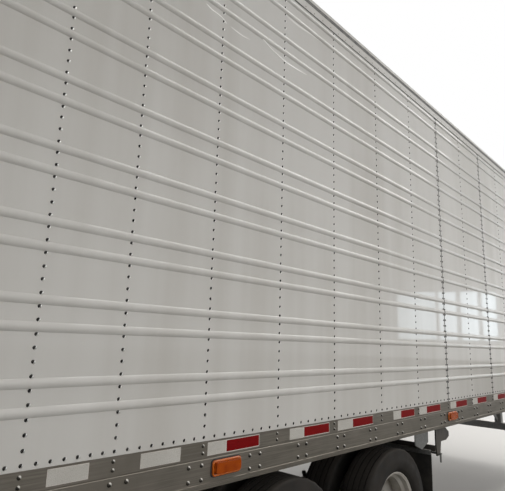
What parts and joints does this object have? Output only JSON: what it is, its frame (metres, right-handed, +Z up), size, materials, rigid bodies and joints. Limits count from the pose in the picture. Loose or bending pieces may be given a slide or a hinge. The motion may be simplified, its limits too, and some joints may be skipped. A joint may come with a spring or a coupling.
{
  "type": "box semi trailer",
  "caption": "Closed box semi trailer with ribbed riveted sides, swing rear doors, landing legs and a sliding tandem on twin wheels.",
  "frame": {"origin": "on the floor, mid length and on the centreline", "axes": "+X forward to the nose, +Y to the left (road) side, +Z up"},
  "size_m": [16.274, 2.619, 4.1148],
  "materials": {
    "skin_white": "gloss white paint",
    "rail_aluminium": "mill finish, dulled",
    "rear_frame_steel": "galvanised and dulled",
    "floor_wood": "oiled hardwood planks",
    "chassis_black": "satin black paint",
    "galvanised": "galvanised",
    "spring_steel": "dark oiled steel",
    "brake_iron": "lightly rusted iron",
    "wheel_white": "white paint",
    "tyre_rubber": "black rubber",
    "flap_rubber": "black rubber",
    "amber_lens": "amber lens",
    "red_lens": "red lens",
    "lamp_base_grey": "grey plastic"
  },
  "bodies": {
    "trailer_body": {"left_wall": "skin_white", "right_wall": "skin_white", "bottom_rails": "rail_aluminium", "top_rails": "rail_aluminium", "front_wall": "skin_white", "front_corner_posts": "skin_white", "front_rails": "rail_aluminium", "roof_panel": "skin_white", "roof_bows": "galvanised", "floor_deck": "floor_wood", "crossmembers": "chassis_black", "coupler_plate": "chassis_black", "kingpin": "spring_steel", "landing_legs": "chassis_black", "landing_feet": "chassis_black", "landing_gear_shaft": "galvanised", "landing_gear_braces": "chassis_black", "slide_rails": "chassis_black", "rear_frame": "rear_frame_steel", "hinge_brackets": "galvanised", "lock_keepers": "galvanised", "dock_bumpers": "flap_rubber", "rear_guard": "galvanised", "lamp_bases": "lamp_base_grey", "amber_lamps": "amber_lens", "red_lamps": "red_lens", "connection_plate": "rail_aluminium", "air_couplings": "galvanised", "power_socket": "galvanised"},
    "left_rear_door": {"left_door": "skin_white", "left_door_hinges": "galvanised", "left_lock_rods": "galvanised"},
    "right_rear_door": {"right_door": "skin_white", "right_door_hinges": "galvanised", "right_lock_rods": "galvanised"},
    "sliding_tandem": {"bogie_frame": "chassis_black", "leaf_springs": "spring_steel", "spring_hangers": "chassis_black", "equalizers": "spring_steel", "torque_arms": "chassis_black", "front_axle": "chassis_black", "rear_axle": "chassis_black", "brake_chambers": "chassis_black", "brake_camshafts": "spring_steel", "air_tank": "chassis_black", "mudflap_bars": "galvanised", "mudflaps": "flap_rubber", "locking_pins": "galvanised"},
    "front_left_dual": {"front_left_wheels": "wheel_white", "front_left_tyres": "tyre_rubber"},
    "front_right_dual": {"front_right_wheels": "wheel_white", "front_right_tyres": "tyre_rubber"},
    "rear_left_dual": {"rear_left_wheels": "wheel_white", "rear_left_tyres": "tyre_rubber"},
    "rear_right_dual": {"rear_right_wheels": "wheel_white", "rear_right_tyres": "tyre_rubber"}
  },
  "joints": [
    {"name": "left_door_hinge", "type": "hinge", "parent": "trailer_body", "child": "left_rear_door", "pos_m": [-8.101, 1.281, 2.575], "axis": [0, 0, -1], "range_deg": [0, 262]},
    {"name": "right_door_hinge", "type": "hinge", "parent": "trailer_body", "child": "right_rear_door", "pos_m": [-8.101, -1.281, 2.575], "axis": [0, 0, 1], "range_deg": [0, 262]},
    {"name": "tandem_slide", "type": "slide", "parent": "trailer_body", "child": "sliding_tandem", "axis": [1, 0, 0], "range_m": [-3.3528, 0.3048]},
    {"name": "front_left_wheel_spin", "type": "hinge", "parent": "sliding_tandem", "child": "front_left_dual", "pos_m": [-2.1008, 0.98425, 0.465], "axis": [0, 1, 0], "continuous": true},
    {"name": "front_right_wheel_spin", "type": "hinge", "parent": "sliding_tandem", "child": "front_right_dual", "pos_m": [-2.1008, -0.98425, 0.465], "axis": [0, 1, 0], "continuous": true},
    {"name": "rear_left_wheel_spin", "type": "hinge", "parent": "sliding_tandem", "child": "rear_left_dual", "pos_m": [-3.3458, 0.98425, 0.465], "axis": [0, 1, 0], "continuous": true},
    {"name": "rear_right_wheel_spin", "type": "hinge", "parent": "sliding_tandem", "child": "rear_right_dual", "pos_m": [-3.3458, -0.98425, 0.465], "axis": [0, 1, 0], "continuous": true}
  ]
}
